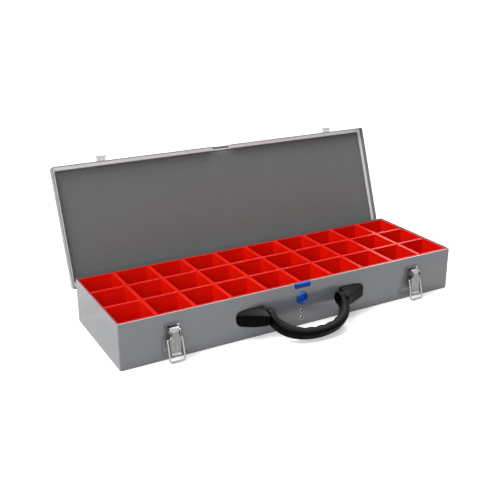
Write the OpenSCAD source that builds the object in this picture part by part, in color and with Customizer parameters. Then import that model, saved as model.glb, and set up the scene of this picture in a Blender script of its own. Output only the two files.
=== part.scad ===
// Sheet steel case with thirty loose inset bins, a hinged lid, two toggle latches and a carrying handle.
// Origin: centre of the underside of the body. X is along the case, the front faces -Y, Z is up.
// The lid is drawn closed and then opened, so closed sizes can be read off directly.

/* [Body] */
// Outside length of the body
case_l = 529; // [500:1:560]
// Outside depth of the body, front to back
case_d = 165; // [150:1:180]
// Outside height of the body
case_h = 64; // [58:0.5:72]
// Thickness of the sheet steel
sheet = 1; // [0.8:0.1:1.2]
// Outside radius of the upright corners
corner_r = 2; // [1.5:0.5:4]

/* [Bins] */
// Free space between neighbouring bins
bin_gap = 0.5; // [0.4:0.1:1]
// How far the bins stay below the rim of the body
bin_drop = 1.5; // [1:0.1:3]
// Width of the rim round each bin
bin_rim = 2.4; // [2:0.1:4]
// Wall and floor of each bin
bin_wall = 1.4; // [1:0.1:1.8]
// Space left between the front wall and the front row
front_room = 4.4; // [4.2:0.1:6]

/* [Lid] */
// Angle that the lid is opened to
lid_open = 110; // [95:1:115]
// Height of the lid panel above the rim of the body
lid_rise = 4; // [3.5:0.1:6]
// How far the lid flanges reach below the rim
lid_skirt = 7; // [5:0.5:8]
// Free space between the lid ends and the body
lid_side_gap = 0.3; // [0.3:0.1:1]
// Free space between the lid flange and the front wall
lid_front_gap = 0.8; // [0.8:0.1:1.5]
// Width of the notch over the clip
notch_w = 28.5; // [27:0.5:34]
// Thickness of the foam
foam_t = 3; // [2.5:0.1:3]

/* [Hinge] */
// Outside radius of the hinge knuckles
knuckle_r = 2; // [1.9:0.1:2.4]
// Radius of the hinge pin
hinge_pin_r = 1; // [0.8:0.05:1.1]
// Depth of the hinge axis below the rim
hinge_drop = 14.6; // [13:0.1:17]
// Length of the hinge
hinge_l = 480; // [440:5:490]

/* [Handle] */
// Distance of each arm's middle from the middle of the case
arm_x = 57; // [54:0.5:60]
// Height of the handle pivot
pivot_z = 32; // [30:0.5:36]
// Distance of the handle pivot from the front wall
pivot_out = 10.25; // [10:0.25:12]
// Hang of the grip below level
handle_tilt = 30; // [20:1:31]
// Depth of the grip across the bow
grip_depth = 17.5; // [16:0.5:19]
// Width of the grip in the bow
grip_w = 13.5; // [12:0.5:17]
// Width of the arms in the bow
arm_w = 9; // [8:0.5:10]
// Radius of the handle pins
handle_pin_r = 2.5; // [2:0.1:3]

/* [Latches] */
// Distance of each latch from the end of the case
latch_end = 71; // [60:0.5:85]
// Height of the lever pivot
lever_z = 41; // [40:0.25:42]
// Distance of the lever pivot from the front wall
lever_out = 7.6; // [7.4:0.1:8]
// Distance of the wire loop's pivot below the lever pivot
bail_below = 10.5; // [10:0.25:12]
// Reach of the wire loop
bail_l = 29.2; // [28:0.1:30]
// Radius of the loop wire
wire_r = 1.2; // [1:0.05:1.3]
// Radius of the lever pins
lever_pin_r = 1.25; // [1:0.05:1.4]

/* [Clip] */
// Radius of the release button
button_r = 9; // [8:0.25:10.5]
// Height of the middle of the button
button_z = 41.3; // [40:0.1:43]
// Width of the nose at the rim
nose_w = 23; // [20:0.5:24]
// How far the button and the nose stand out
clip_proud = 3; // [2:0.1:3.5]

/* [Hidden] */
cols = 10;
rows = 3;
fine = 48;
eps = 0.02;
front = -case_d / 2;
back = case_d / 2;

// Bin grid
pitch_x = (case_l - 2 * sheet) / cols;
pitch_y = (case_d - 2 * sheet - front_room - bin_gap) / rows;
bin_h = case_h - sheet - bin_drop;
bin_x0 = -case_l / 2 + sheet + pitch_x / 2;
bin_y0 = front + sheet + front_room + pitch_y / 2;
bin_skirt = 4;

// Hinge axis
hinge_y = back + knuckle_r + 0.1;
hinge_z = case_h - hinge_drop;
hinge_hole_r = hinge_pin_r + 0.06;
knuckles = 12;
knuckle_l = hinge_l / knuckles;
knuckle_gap = 0.4;
leaf_t = 1;
leaf_drop = 20;
leaf_low = hinge_z - leaf_drop;
hinge_rivets = 6;
hinge_rivet_step = hinge_l / hinge_rivets;
rivet_drop = 12;
body_rivet_z = hinge_z - rivet_drop;
lid_rivet_drop = 2;
lid_rivet_z = case_h - lid_rivet_drop;
rivet_r = 1.6;
rivet_head_r = 3;
rivet_head_t = 1.1;
tail_t = 0.8;

// Lid
lid_x = case_l / 2 + lid_side_gap + sheet;
lid_front = front - lid_front_gap - sheet;
lid_back = hinge_y + knuckle_r + sheet;
lid_top = case_h + lid_rise;
lid_low = case_h - lid_skirt;
ledge_z = case_h + 0.3;
ledge_in = 3.4;
foam_gap = 1;
notch_ledge = 3.1;

// Keepers, drawn on the closed lid
keeper_w = 12.5;
keeper_tip_w = 15;
keeper_t = 1;
hook_z = lid_low + 0.2;
hook_reach = 9.8;
hook_tip = 3.8;
keeper_rivet_dx = 3.6;
keeper_rivet_z = lid_low + 6.2;
small_rivet_r = 1;
small_head_r = 1.8;
small_head_t = 0.7;
pin_head_r = 2;

// Latches
latch_x = case_l / 2 - latch_end;
plate_w = 20;
plate_low = 22;
plate_high = 50;
plate_t = 1;
ear_x = 7;
ear_t = 1;
ear_r = 3.2;
lever_w_top = 13.2;
lever_w_low = 17;
lever_w_lip = 12.7;
lever_t = 1;
lever_face = lever_out + 1.6;
roll_r = 2.8;
roll_z = lever_z + 1.6;
roll_turn = 95;
lever_step = lever_z - 8;
lever_soft = 2;
lever_side = 3;
lever_slope = 2;
lip_start = 16;
lip_r = 9;
lip_turn = 45;
lever_boss_r = 4;
bail_z = lever_z - bail_below;
bail_out = lever_out - 0.4;
bail_boss_r = 3;
bail_x = 10.1;
bail_hang = 14.5;
bend_r = 2.6;
pin_gap = 0.06;
plate_rivet_z = [26, 46.5];
plate_rivet_dx = 6.8;

// Handle bow: a long arc over the grip and a tighter arc down to each pivot
grip_r = 100;
grip_half = 18;
grip_apex = 42.5;
elbow_x = 19.2;
elbow_r = arm_x - elbow_x;
elbow_y = 0.65;
arm_depth = 19.4;
heel_r = arm_depth / 2;
section_r = 6.4;
scallops = 4;
scallop_depth = 1;
pin_in = arm_x - arm_w / 2 - 1.5;
pin_out = arm_x + arm_w / 2 + 7;
cap_gap = 0.5;

// End blocks of the handle
cap_x_in = arm_x + arm_w / 2 + cap_gap;
cap_x_out = cap_x_in + 40.5;
cap_slant = 9;
cap_top_in = 44.8;
cap_low_in = 20;
cap_top_out = 41.6;
cap_low_out = 23.6;
cap_out_in = 20;
cap_ridge_in = 34.5;
cap_out_out = 4;
cap_round = 3;
cap_flat = 5;
boss_r = 6;
screw_r = 2;
screw_head_r = 3.6;
screw_head_t = 1.8;
screw_l = 7;
screw_dx = [14, 27];

// Clip
arm_t = 0.8;
arm_y = front + sheet + 0.3;
flex_z = 26;
arm_clip_w = 16;
nose_drop = 7.4;
nose_low = case_h - nose_drop;
nose_top = case_h + 0.8;
nose_step_z = case_h - 3;
button_gap = 0.4;
notch_side = 0.6;
foot_low = 6;
foot_w = 14;
clip_rivet_z = [10.9, 21.8];
clip_rivet_r = 1.6;
clip_head_r = 3.1;
clip_head_t = 0.6;

// An upright block with round corners, from exact cubes and cylinders
module upright_block(x0, x1, y0, y1, z0, z1, r) {
    translate([x0 + r, y0, z0])
        cube([x1 - x0 - 2 * r, y1 - y0, z1 - z0]);
    translate([x0, y0 + r, z0])
        cube([x1 - x0, y1 - y0 - 2 * r, z1 - z0]);
    for (x = [x0 + r, x1 - r])
        for (y = [y0 + r, y1 - r])
            translate([x, y, z0])
                cylinder(h = z1 - z0, r = r, $fn = fine);
}

// A cylinder along X from x0 to x1, centred on y and z
module rod_x(x0, x1, y, z, r) {
    translate([x0, y, z])
        rotate([0, 90, 0])
            cylinder(h = x1 - x0, r = r, $fn = fine);
}

// A cylinder along Y from y0 to y1
module rod_y(x, y0, y1, z, r) {
    translate([x, y1, z])
        rotate([90, 0, 0])
            cylinder(h = y1 - y0, r = r, $fn = fine);
}

// A side view drawn as (distance from the front wall, height), as wide as w from x
module side_view(x, w) {
    translate([x + w, front, 0])
        rotate([90, 0, -90])
            linear_extrude(w)
                children();
}

// Turns the closed lid to its open place
module on_lid() {
    translate([0, hinge_y, hinge_z])
        rotate([-lid_open, 0, 0])
            translate([0, -hinge_y, -hinge_z])
                children();
}

function arc(cx, cy, r, a0, a1, n) =
    [for (i = [0:n]) [cx + r * cos(a0 + (a1 - a0) * i / n), cy + r * sin(a0 + (a1 - a0) * i / n)]];

module body_shell() {
    color("slategray")
        difference() {
            upright_block(-case_l / 2, case_l / 2, front, back, 0, case_h, corner_r);
            upright_block(-case_l / 2 + sheet, case_l / 2 - sheet, front + sheet, back - sheet,
                sheet, case_h + 1, corner_r - sheet);
            // Notch for the nose and hole for the button
            translate([-nose_w / 2 - notch_side, front - 1, nose_low - notch_side])
                cube([nose_w + 2 * notch_side, sheet + 2, case_h]);
            rod_y(0, front - 1, front + sheet + 1, button_z, button_r + button_gap);
            // Rivet and screw holes
            for (z = clip_rivet_z)
                rod_y(0, front - 1, front + sheet + 1, z, clip_rivet_r);
            for (s = [-1, 1]) {
                for (z = plate_rivet_z)
                    for (d = [-1, 1])
                        rod_y(s * latch_x + d * plate_rivet_dx, front - 1, front + sheet + 1, z,
                            small_rivet_r);
                for (d = screw_dx)
                    rod_y(s * (cap_x_in + d), front - 1, front + sheet + 1, pivot_z + 1.5, screw_r);
            }
            for (i = [0:hinge_rivets - 1])
                rod_y(hinge_rivet_x(i), back - sheet - 1, back + 1, body_rivet_z, rivet_r);
        }
}

function hinge_rivet_x(i) = -hinge_l / 2 + hinge_rivet_step * (i + 0.5);

// One bin: a square cup with a wide rim at its top
module bin(col, row) {
    half_x = (pitch_x - bin_gap) / 2;
    half_y = (pitch_y - bin_gap) / 2;
    set_back = bin_rim - bin_wall;
    color("red")
        translate([bin_x0 + (col - 1) * pitch_x, bin_y0 + (row - 1) * pitch_y, sheet])
            difference() {
                union() {
                    translate([-half_x + set_back, -half_y + set_back, 0])
                        cube([2 * (half_x - set_back), 2 * (half_y - set_back), bin_h]);
                    translate([-half_x, -half_y, bin_h - bin_skirt])
                        cube([2 * half_x, 2 * half_y, bin_skirt]);
                }
                translate([-half_x + bin_rim, -half_y + bin_rim, bin_wall])
                    cube([2 * (half_x - bin_rim), 2 * (half_y - bin_rim), bin_h]);
            }
}

module lid_shell() {
    color("lightslategray")
        on_lid()
            difference() {
                upright_block(-lid_x, lid_x, lid_front, lid_back, lid_low, lid_top, corner_r + sheet);
                upright_block(-lid_x + sheet, lid_x - sheet, lid_front + sheet, lid_back - sheet,
                    lid_low - 1, lid_top - sheet, corner_r);
                translate([-notch_w / 2, lid_front - 1, lid_low - 1])
                    cube([notch_w, sheet + 2, lid_skirt + lid_rise - sheet]);
                for (i = [0:hinge_rivets - 1])
                    rod_y(hinge_rivet_x(i), lid_back - sheet - 1, lid_back + 1, lid_rivet_z, rivet_r);
                for (s = [-1, 1])
                    for (d = [-1, 1])
                        rod_y(s * latch_x + d * keeper_rivet_dx, lid_front - 1, lid_front + sheet + 1,
                            keeper_rivet_z, small_rivet_r);
            }
}

module lid_ledge_frame() {
    color("lightgray")
        on_lid()
            difference() {
                union() {
                    upright_block(-lid_x + sheet, lid_x - sheet, lid_front + sheet, lid_back - sheet - leaf_t,
                        ledge_z, ledge_z + sheet, corner_r);
                    upright_block(-case_l / 2 + ledge_in - sheet, case_l / 2 - ledge_in + sheet,
                        front + ledge_in - sheet, back - ledge_in + sheet, ledge_z, lid_top - sheet, 2);
                }
                translate([-case_l / 2 + ledge_in, front + ledge_in, ledge_z - 1])
                    cube([case_l - 2 * ledge_in, case_d - 2 * ledge_in, lid_rise + 2]);
                translate([-notch_w / 2, lid_front, ledge_z - 1])
                    cube([notch_w, sheet + notch_ledge, 2 + sheet]);
            }
}

module lid_foam() {
    inset = ledge_in + foam_gap;
    color("dimgray")
        on_lid()
            translate([-case_l / 2 + inset, front + inset, lid_top - sheet - foam_t])
                cube([case_l - 2 * inset, case_d - 2 * inset, foam_t]);
}

// Knuckles of one leaf: the body leaf has the even ones, the lid leaf the odd ones
module knuckle_row(first, grow) {
    for (i = [first:2:knuckles - 1])
        translate([-hinge_l / 2 + i * knuckle_l - grow, 0, 0])
            rod_x(knuckle_gap / 2, knuckle_l - knuckle_gap / 2 + 2 * grow, hinge_y, hinge_z, knuckle_r);
}

// Room that one leaf leaves for the knuckles of the other
module knuckle_room(first, z0, z1) {
    for (i = [first:2:knuckles - 1])
        translate([-hinge_l / 2 + i * knuckle_l - knuckle_gap / 2, back - 1, z0])
            cube([knuckle_l + knuckle_gap, knuckle_r * 2 + 4, z1 - z0]);
}

module hinge_body_leaf() {
    color("silver")
        difference() {
            union() {
                difference() {
                    translate([-hinge_l / 2, back, leaf_low])
                        cube([hinge_l, leaf_t, hinge_z - leaf_low]);
                    knuckle_room(1, hinge_z - knuckle_r - 0.6, hinge_z + 1);
                }
                knuckle_row(0, 0);
            }
            rod_x(-hinge_l, hinge_l, hinge_y, hinge_z, hinge_hole_r);
            for (i = [0:hinge_rivets - 1])
                rod_y(hinge_rivet_x(i), back - 1, back + leaf_t + 1, body_rivet_z, rivet_r);
        }
}

module hinge_lid_leaf() {
    leaf_y = lid_back - sheet - leaf_t;
    stop_l = 8;
    stop_w = 20;
    color("silver")
        on_lid()
            difference() {
                union() {
                    difference() {
                        translate([-hinge_l / 2, leaf_y, hinge_z])
                            cube([hinge_l, leaf_t, lid_top - sheet - hinge_z]);
                        knuckle_room(0, hinge_z - 1, hinge_z + knuckle_r + 0.6);
                    }
                    knuckle_row(1, 0);
                    // Tongues that come to rest on the body leaf and stop the lid
                    for (i = [1:2:knuckles - 1])
                        translate([-hinge_l / 2 + (i + 0.5) * knuckle_l, hinge_y, hinge_z])
                            rotate([lid_open, 0, 0])
                                translate([-stop_w / 2, -knuckle_r + leaf_t + 0.05, -stop_l])
                                    cube([stop_w, 0.9, stop_l - hinge_pin_r - 0.3]);
                }
                rod_x(-hinge_l, hinge_l, hinge_y, hinge_z, hinge_hole_r);
                for (i = [0:hinge_rivets - 1])
                    rod_y(hinge_rivet_x(i), leaf_y - 1, leaf_y + leaf_t + 1, lid_rivet_z, rivet_r);
            }
}

module hinge_pin() {
    color("gainsboro")
        rod_x(-hinge_l / 2 - 0.5, hinge_l / 2 + 0.5, hinge_y, hinge_z, hinge_pin_r);
}

module hinge_body_rivets() {
    color("gainsboro")
        for (i = [0:hinge_rivets - 1]) {
            rod_y(hinge_rivet_x(i), back - sheet, back + leaf_t, body_rivet_z, rivet_r);
            rod_y(hinge_rivet_x(i), back + leaf_t, back + leaf_t + rivet_head_t, body_rivet_z, rivet_head_r);
            rod_y(hinge_rivet_x(i), back - sheet - tail_t, back - sheet, body_rivet_z, rivet_head_r - 0.6);
        }
}

module hinge_lid_rivets() {
    leaf_y = lid_back - sheet - leaf_t;
    color("gainsboro")
        on_lid()
            for (i = [0:hinge_rivets - 1]) {
                rod_y(hinge_rivet_x(i), leaf_y, lid_back, lid_rivet_z, rivet_r);
                rod_y(hinge_rivet_x(i), lid_back, lid_back + rivet_head_t, lid_rivet_z, rivet_head_r);
                rod_y(hinge_rivet_x(i), leaf_y - tail_t, leaf_y, lid_rivet_z, rivet_head_r - 0.9);
            }
}

module latch_plate(s) {
    cx = s * latch_x;
    color("silver")
        difference() {
            union() {
                side_view(cx - plate_w / 2, plate_w)
                    translate([0, plate_low])
                        square([plate_t, plate_high - plate_low]);
                for (x = [-ear_x - ear_t, ear_x])
                    side_view(cx + x, ear_t)
                        union() {
                            translate([0, lever_z - ear_r])
                                square([lever_out, 2 * ear_r]);
                            translate([lever_out, lever_z])
                                circle(r = ear_r, $fn = fine);
                        }
            }
            rod_x(cx - plate_w, cx + plate_w, front - lever_out, lever_z, lever_pin_r);
            for (z = plate_rivet_z)
                for (d = [-1, 1])
                    rod_y(cx + d * plate_rivet_dx, front - plate_t - 1, front + 1, z, small_rivet_r);
        }
}

module latch_plate_left() {
    latch_plate(-1);
}

module latch_plate_right() {
    latch_plate(1);
}

module latch_pins() {
    head_t = 0.6;
    color("gainsboro")
        for (s = [-1, 1]) {
            reach = ear_x + ear_t;
            rod_x(s * latch_x - reach, s * latch_x + reach, front - lever_out, lever_z, lever_pin_r);
            for (e = [-reach - head_t, reach])
                rod_x(s * latch_x + e, s * latch_x + e + head_t, front - lever_out, lever_z, pin_head_r);
        }
}

module latch_rivets() {
    color("gainsboro")
        for (s = [-1, 1])
            for (z = plate_rivet_z)
                for (d = [-1, 1]) {
                    x = s * latch_x + d * plate_rivet_dx;
                    rod_y(x, front - plate_t, front + sheet, z, small_rivet_r);
                    rod_y(x, front - plate_t - small_head_t, front - plate_t, z, small_head_r);
                    rod_y(x, front + sheet, front + sheet + small_head_t, z, small_head_r);
                }
}

// Outline of the lever from above: open at the back, with two soft corners at the front
module lever_plan(cx, w) {
    out = lever_face + lever_t;
    translate([cx, front, 0])
        linear_extrude(case_h)
            polygon(concat([[-w / 2, 0]],
                arc(-w / 2 + lever_soft, -out + lever_soft, lever_soft, 180, 270, 5),
                arc(w / 2 - lever_soft, -out + lever_soft, lever_soft, 270, 360, 5),
                [[w / 2, 0]]));
}

// The lever is a bent channel: a face plate with a rolled top and a curled lip, and a cheek on each side
module latch_lever(s) {
    cx = s * latch_x;
    out = lever_face + lever_t;
    lip_c = out + lip_r;
    color("silver")
        difference() {
            union() {
                intersection() {
                    lever_plan(cx, lever_w_top);
                    union() {
                        // Upper face, rolled back over the pin at its top
                        side_view(cx - lever_w_top / 2, lever_w_top) {
                            translate([lever_face, lever_step - eps])
                                square([lever_t, roll_z - lever_step + 2 * eps]);
                            polygon(concat(
                                arc(lever_face - roll_r, roll_z, roll_r + lever_t, 0, roll_turn, 10),
                                arc(lever_face - roll_r, roll_z, roll_r, roll_turn, 0, 10)));
                        }
                        // Upper cheeks, round about the lever pin
                        for (x = [-lever_w_top / 2, lever_w_top / 2 - lever_t])
                            side_view(cx + x, lever_t)
                                union() {
                                    intersection() {
                                        translate([lever_out, lever_z])
                                            circle(r = lever_boss_r, $fn = fine);
                                        translate([0, lever_z - lever_boss_r])
                                            square([lever_face + eps, 2 * lever_boss_r]);
                                    }
                                    translate([out - lever_side, lever_step - eps])
                                        square([lever_side, roll_z - lever_step + eps]);
                                }
                    }
                }
                intersection() {
                    lever_plan(cx, lever_w_low);
                    union() {
                        side_view(cx - lever_w_low / 2, lever_w_low)
                            translate([lever_face, lip_start])
                                square([lever_t, lever_step - lip_start]);
                        // Lower cheeks, round about the ends of the wire loop
                        for (x = [-lever_w_low / 2, lever_w_low / 2 - lever_t])
                            side_view(cx + x, lever_t)
                                union() {
                                    translate([bail_out, bail_z])
                                        circle(r = bail_boss_r, $fn = fine);
                                    translate([out - lever_side, lip_start])
                                        square([lever_side, lever_step - lip_start]);
                                }
                    }
                }
                // Sloping shoulders between the wide and the narrow part
                translate([cx, front - lever_face, 0])
                    rotate([90, 0, 0])
                        linear_extrude(lever_t)
                            polygon([[-lever_w_low / 2 + lever_soft, lever_step - eps],
                                [lever_w_low / 2 - lever_soft, lever_step - eps],
                                [lever_w_top / 2 - lever_soft, lever_step + lever_slope],
                                [-lever_w_top / 2 + lever_soft, lever_step + lever_slope]]);
                side_view(cx - lever_w_lip / 2, lever_w_lip)
                    polygon(concat(arc(lip_c, lip_start + eps, lip_r, 180, 180 + lip_turn, 8),
                        arc(lip_c, lip_start + eps, lip_r + lever_t, 180 + lip_turn, 180, 8)));
            }
            rod_x(cx - plate_w, cx + plate_w, front - lever_out, lever_z, lever_pin_r + pin_gap);
            rod_x(cx - plate_w, cx + plate_w, front - bail_out, bail_z, wire_r + pin_gap);
        }
}

module latch_lever_left() {
    latch_lever(-1);
}

module latch_lever_right() {
    latch_lever(1);
}

// Wire loop: two ends in the lever, two legs, two bends and a bar
module latch_bail(s) {
    cx = s * latch_x;
    bend_z = -bail_l + bend_r;
    color("gainsboro")
        translate([cx, front - bail_out, bail_z])
            rotate([-bail_hang, 0, 0])
                for (d = [0, 1])
                    mirror([d, 0, 0]) {
                        rod_x(lever_w_low / 2 - lever_t - 0.8, bail_x, 0, 0, wire_r);
                        translate([bail_x, 0, 0])
                            sphere(r = wire_r, $fn = 32);
                        translate([bail_x, 0, bend_z])
                            cylinder(h = -bend_z, r = wire_r, $fn = fine);
                        translate([bail_x - bend_r, 0, bend_z])
                            rotate([90, 90, 0])
                                rotate_extrude(angle = 90, $fn = fine)
                                    translate([bend_r, 0])
                                        circle(r = wire_r, $fn = 32);
                        rod_x(0, bail_x - bend_r, 0, -bail_l, wire_r);
                    }
}

module latch_bail_left() {
    latch_bail(-1);
}

module latch_bail_right() {
    latch_bail(1);
}

// Keeper: a plate on the lid flange that turns out into an upturned hook, wider at its tip
module keeper(s) {
    cx = s * latch_x;
    face = lid_front_gap + sheet;
    color("silver")
        on_lid()
            difference() {
                union() {
                    side_view(cx - keeper_w / 2, keeper_w) {
                        translate([face, hook_z])
                            square([keeper_t, lid_top - 2 - hook_z]);
                        translate([face, hook_z])
                            square([hook_reach - face - hook_tip / 2, keeper_t]);
                    }
                    side_view(cx - keeper_tip_w / 2, keeper_tip_w) {
                        translate([hook_reach - hook_tip / 2 - 1.5, hook_z])
                            square([hook_tip / 2 + 1.5 - 0.8, keeper_t]);
                        translate([hook_reach - keeper_t, hook_z + 0.8])
                            square([keeper_t, hook_tip - 0.8]);
                        polygon(concat(arc(hook_reach - 1.2, hook_z + 1.2, 1.2, -90, 0, 6),
                            arc(hook_reach - 1.2, hook_z + 1.2, 0.2, 0, -90, 3)));
                    }
                }
                for (d = [-1, 1])
                    rod_y(cx + d * keeper_rivet_dx, lid_front - 2, lid_front + 1, keeper_rivet_z,
                        small_rivet_r);
            }
}

module keeper_left() {
    keeper(-1);
}

module keeper_right() {
    keeper(1);
}

module keeper_rivets() {
    color("gainsboro")
        on_lid()
            for (s = [-1, 1])
                for (d = [-1, 1]) {
                    x = s * latch_x + d * keeper_rivet_dx;
                    rod_y(x, lid_front - keeper_t, lid_front + sheet, keeper_rivet_z, small_rivet_r);
                    rod_y(x, lid_front - keeper_t - small_head_t, lid_front - keeper_t, keeper_rivet_z,
                        small_head_r);
                }
}

// End block: a wedge with round edges, lowest and thinnest at its outer end
module handle_cap(s) {
    r = cap_round;
    in_x = cap_x_in + r;
    out_x = cap_x_out - r;
    color("black")
        mirror([s < 0 ? 1 : 0, 0, 0])
            difference() {
                union() {
                    hull()
                        for (c = [
                            [in_x, cap_out_in - r, cap_ridge_in - r],
                            [in_x + cap_flat, cap_out_in - r, cap_ridge_in - r],
                            [in_x + cap_slant, cap_out_in - r - 1, cap_low_in + r],
                            [out_x, cap_out_out - r + 1.5, cap_top_out - r - 0.5],
                            [out_x, cap_out_out - r + 1.5, cap_low_out + r],
                            [in_x, -0.5, cap_top_in - r],
                            [in_x + cap_slant, -0.5, cap_low_in + r],
                            [out_x, -0.5, cap_top_out - r],
                            [out_x, -0.5, cap_low_out + r]])
                            translate([c[0], front - c[1], c[2]])
                                sphere(r = r, $fn = 24);
                    rod_x(cap_x_in, in_x + cap_slant, front - pivot_out, pivot_z, boss_r);
                }
                translate([cap_x_in - 1, front, 0])
                    cube([cap_x_out - cap_x_in + 2, 2 * cap_round, case_h]);
                rod_x(cap_x_in - 1, pin_out, front - pivot_out, pivot_z, handle_pin_r);
                for (d = screw_dx)
                    rod_y(cap_x_in + d, front - screw_l + sheet, front + 1, pivot_z + 1.5, screw_r);
            }
}

module handle_cap_left() {
    handle_cap(-1);
}

module handle_cap_right() {
    handle_cap(1);
}

module cap_screws() {
    color("silver")
        for (s = [-1, 1])
            for (d = screw_dx) {
                x = s * (cap_x_in + d);
                rod_y(x, front - screw_l + sheet, front + sheet, pivot_z + 1.5, screw_r);
                rod_y(x, front + sheet, front + sheet + screw_head_t, pivot_z + 1.5, screw_head_r);
            }
}

module handle_pins() {
    color("silver")
        for (s = [0, 1])
            mirror([s, 0, 0])
                rod_x(pin_in, pin_out, front - pivot_out, pivot_z, handle_pin_r);
}

// Ring of the bow's section: a rectangle with round corners, w wide and d deep
function bow_ring(w, d) = let (r = min(section_r, w / 2 - 0.4))
    [for (q = [0:3]) for (i = [0:4])
        let (a = 90 * q + 22.5 * i)
            [(w / 2 - r) * (q == 0 || q == 3 ? 1 : -1) + r * cos(a),
             (d / 2 - r) * (q < 2 ? 1 : -1) + r * sin(a)]];

// Stations along the bow: each is [x, y, direction, width]; the direction is out from the bow's middle
elbow_steps = 9;
grip_steps = 24;
function blend(t) = t * t * (3 - 2 * t);
function bow_station(k) =
    k < elbow_steps ?
        let (t = k / elbow_steps, a = 90 - (90 - grip_half) * t)
            [-elbow_x - elbow_r * sin(a), elbow_y + elbow_r * cos(a), -a,
             arm_w + (grip_w - arm_w) * blend(t), 0]
    : k <= elbow_steps + grip_steps ?
        let (t = (k - elbow_steps) / grip_steps, a = -grip_half + 2 * grip_half * t)
            [grip_r * sin(a), grip_apex - grip_r + grip_r * cos(a), a, grip_w,
             scallop_depth * (1 - cos(360 * scallops * t)) / 2]
    :
        let (t = (k - elbow_steps - grip_steps) / elbow_steps, a = grip_half + (90 - grip_half) * t)
            [elbow_x + elbow_r * sin(a), elbow_y + elbow_r * cos(a), a,
             grip_w - (grip_w - arm_w) * blend(t), 0];
stations = elbow_steps * 2 + grip_steps + 1;
sides = 20;

// The section's first coordinate runs outward in the bow, the second is the depth
function bow_points() = [for (k = [0:stations - 1])
    let (st = bow_station(k), w = st[3] - st[4])
        for (p = bow_ring(w, arm_depth - (arm_depth - grip_depth) * (st[3] - arm_w) / (grip_w - arm_w)))
            let (u = p[0] + st[4] / 2)
                [st[0] + u * sin(st[2]), -(st[1] + u * cos(st[2])), p[1]]];
function bow_faces() = concat(
    [for (k = [0:stations - 2]) for (i = [0:sides - 1])
        let (j = (i + 1) % sides)
            [k * sides + i, k * sides + j, (k + 1) * sides + j]],
    [for (k = [0:stations - 2]) for (i = [0:sides - 1])
        let (j = (i + 1) % sides)
            [k * sides + i, (k + 1) * sides + j, (k + 1) * sides + i]],
    [[for (i = [sides - 1:-1:0]) i]],
    [[for (i = [0:sides - 1]) (stations - 1) * sides + i]]);

module handle_grip() {
    color("black")
        difference() {
            translate([0, front - pivot_out, pivot_z])
                rotate([handle_tilt, 0, 0])
                    union() {
                        polyhedron(points = bow_points(), faces = bow_faces(), convexity = 6);
                        for (s = [0, 1])
                            mirror([s, 0, 0])
                                rod_x(arm_x - arm_w / 2, arm_x + arm_w / 2, 0, 0, heel_r);
                    }
            for (s = [0, 1])
                mirror([s, 0, 0])
                    rod_x(arm_x - arm_w, arm_x + arm_w, front - pivot_out, pivot_z, handle_pin_r + pin_gap);
        }
}

module release_button() {
    rim_w = 1.6;
    dish = 0.8;
    color("blue")
        difference() {
            union() {
                rod_y(0, front - clip_proud + 0.8, arm_y, button_z, button_r);
                rod_y(0, front - clip_proud, front - clip_proud + 0.8, button_z, button_r - 0.8);
            }
            rod_y(0, front - clip_proud - 1, front - clip_proud + dish, button_z, button_r - 0.8 - rim_w);
        }
}

module catch_nose() {
    color("blue") {
        side_view(-nose_w / 2, nose_w)
            polygon([
                [-sheet - 0.3, nose_low], [0.4, nose_low], [clip_proud - 0.8, nose_low + 0.6],
                [clip_proud - 0.8, nose_step_z], [clip_proud, nose_step_z + 0.4],
                [clip_proud, nose_top - 1], [clip_proud - 1, nose_top],
                [0.3, nose_top], [0.3, case_h], [-sheet - 0.3, case_h]]);
    }
}

module catch_arm() {
    color("silver")
        union() {
            translate([-arm_clip_w / 2, arm_y, flex_z + 0.3])
                cube([arm_clip_w, arm_t, nose_low - flex_z - 0.3]);
            translate([-nose_w / 2, arm_y, nose_low])
                cube([nose_w, arm_t, case_h - nose_low]);
        }
}

module catch_foot() {
    color("silver")
        difference() {
            union() {
                translate([-foot_w / 2, front + sheet, foot_low])
                    cube([foot_w, arm_t, flex_z - foot_low]);
                // The bend under the moving arm
                translate([-foot_w / 2, front + sheet, flex_z - 1.6])
                    cube([foot_w, arm_t + 0.3, 1.6]);
            }
            for (z = clip_rivet_z)
                rod_y(0, front, front + sheet + arm_t + 1, z, clip_rivet_r);
        }
}

module catch_rivets() {
    color("gainsboro")
        for (z = clip_rivet_z) {
            rod_y(0, front, front + sheet + arm_t, z, clip_rivet_r);
            rod_y(0, front - clip_head_t, front, z, clip_head_r);
            rod_y(0, front + sheet + arm_t, front + sheet + arm_t + 0.7, z, clip_head_r - 0.6);
        }
}

body_shell();
bin(1, 1);  // bin_1_1
bin(2, 1);  // bin_1_2
bin(3, 1);  // bin_1_3
bin(4, 1);  // bin_1_4
bin(5, 1);  // bin_1_5
bin(6, 1);  // bin_1_6
bin(7, 1);  // bin_1_7
bin(8, 1);  // bin_1_8
bin(9, 1);  // bin_1_9
bin(10, 1);  // bin_1_10
bin(1, 2);  // bin_2_1
bin(2, 2);  // bin_2_2
bin(3, 2);  // bin_2_3
bin(4, 2);  // bin_2_4
bin(5, 2);  // bin_2_5
bin(6, 2);  // bin_2_6
bin(7, 2);  // bin_2_7
bin(8, 2);  // bin_2_8
bin(9, 2);  // bin_2_9
bin(10, 2);  // bin_2_10
bin(1, 3);  // bin_3_1
bin(2, 3);  // bin_3_2
bin(3, 3);  // bin_3_3
bin(4, 3);  // bin_3_4
bin(5, 3);  // bin_3_5
bin(6, 3);  // bin_3_6
bin(7, 3);  // bin_3_7
bin(8, 3);  // bin_3_8
bin(9, 3);  // bin_3_9
bin(10, 3);  // bin_3_10
lid_shell();
lid_ledge_frame();
lid_foam();
hinge_body_leaf();
hinge_lid_leaf();
hinge_pin();
hinge_body_rivets();
hinge_lid_rivets();
latch_plate_left();
latch_plate_right();
latch_pins();
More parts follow.
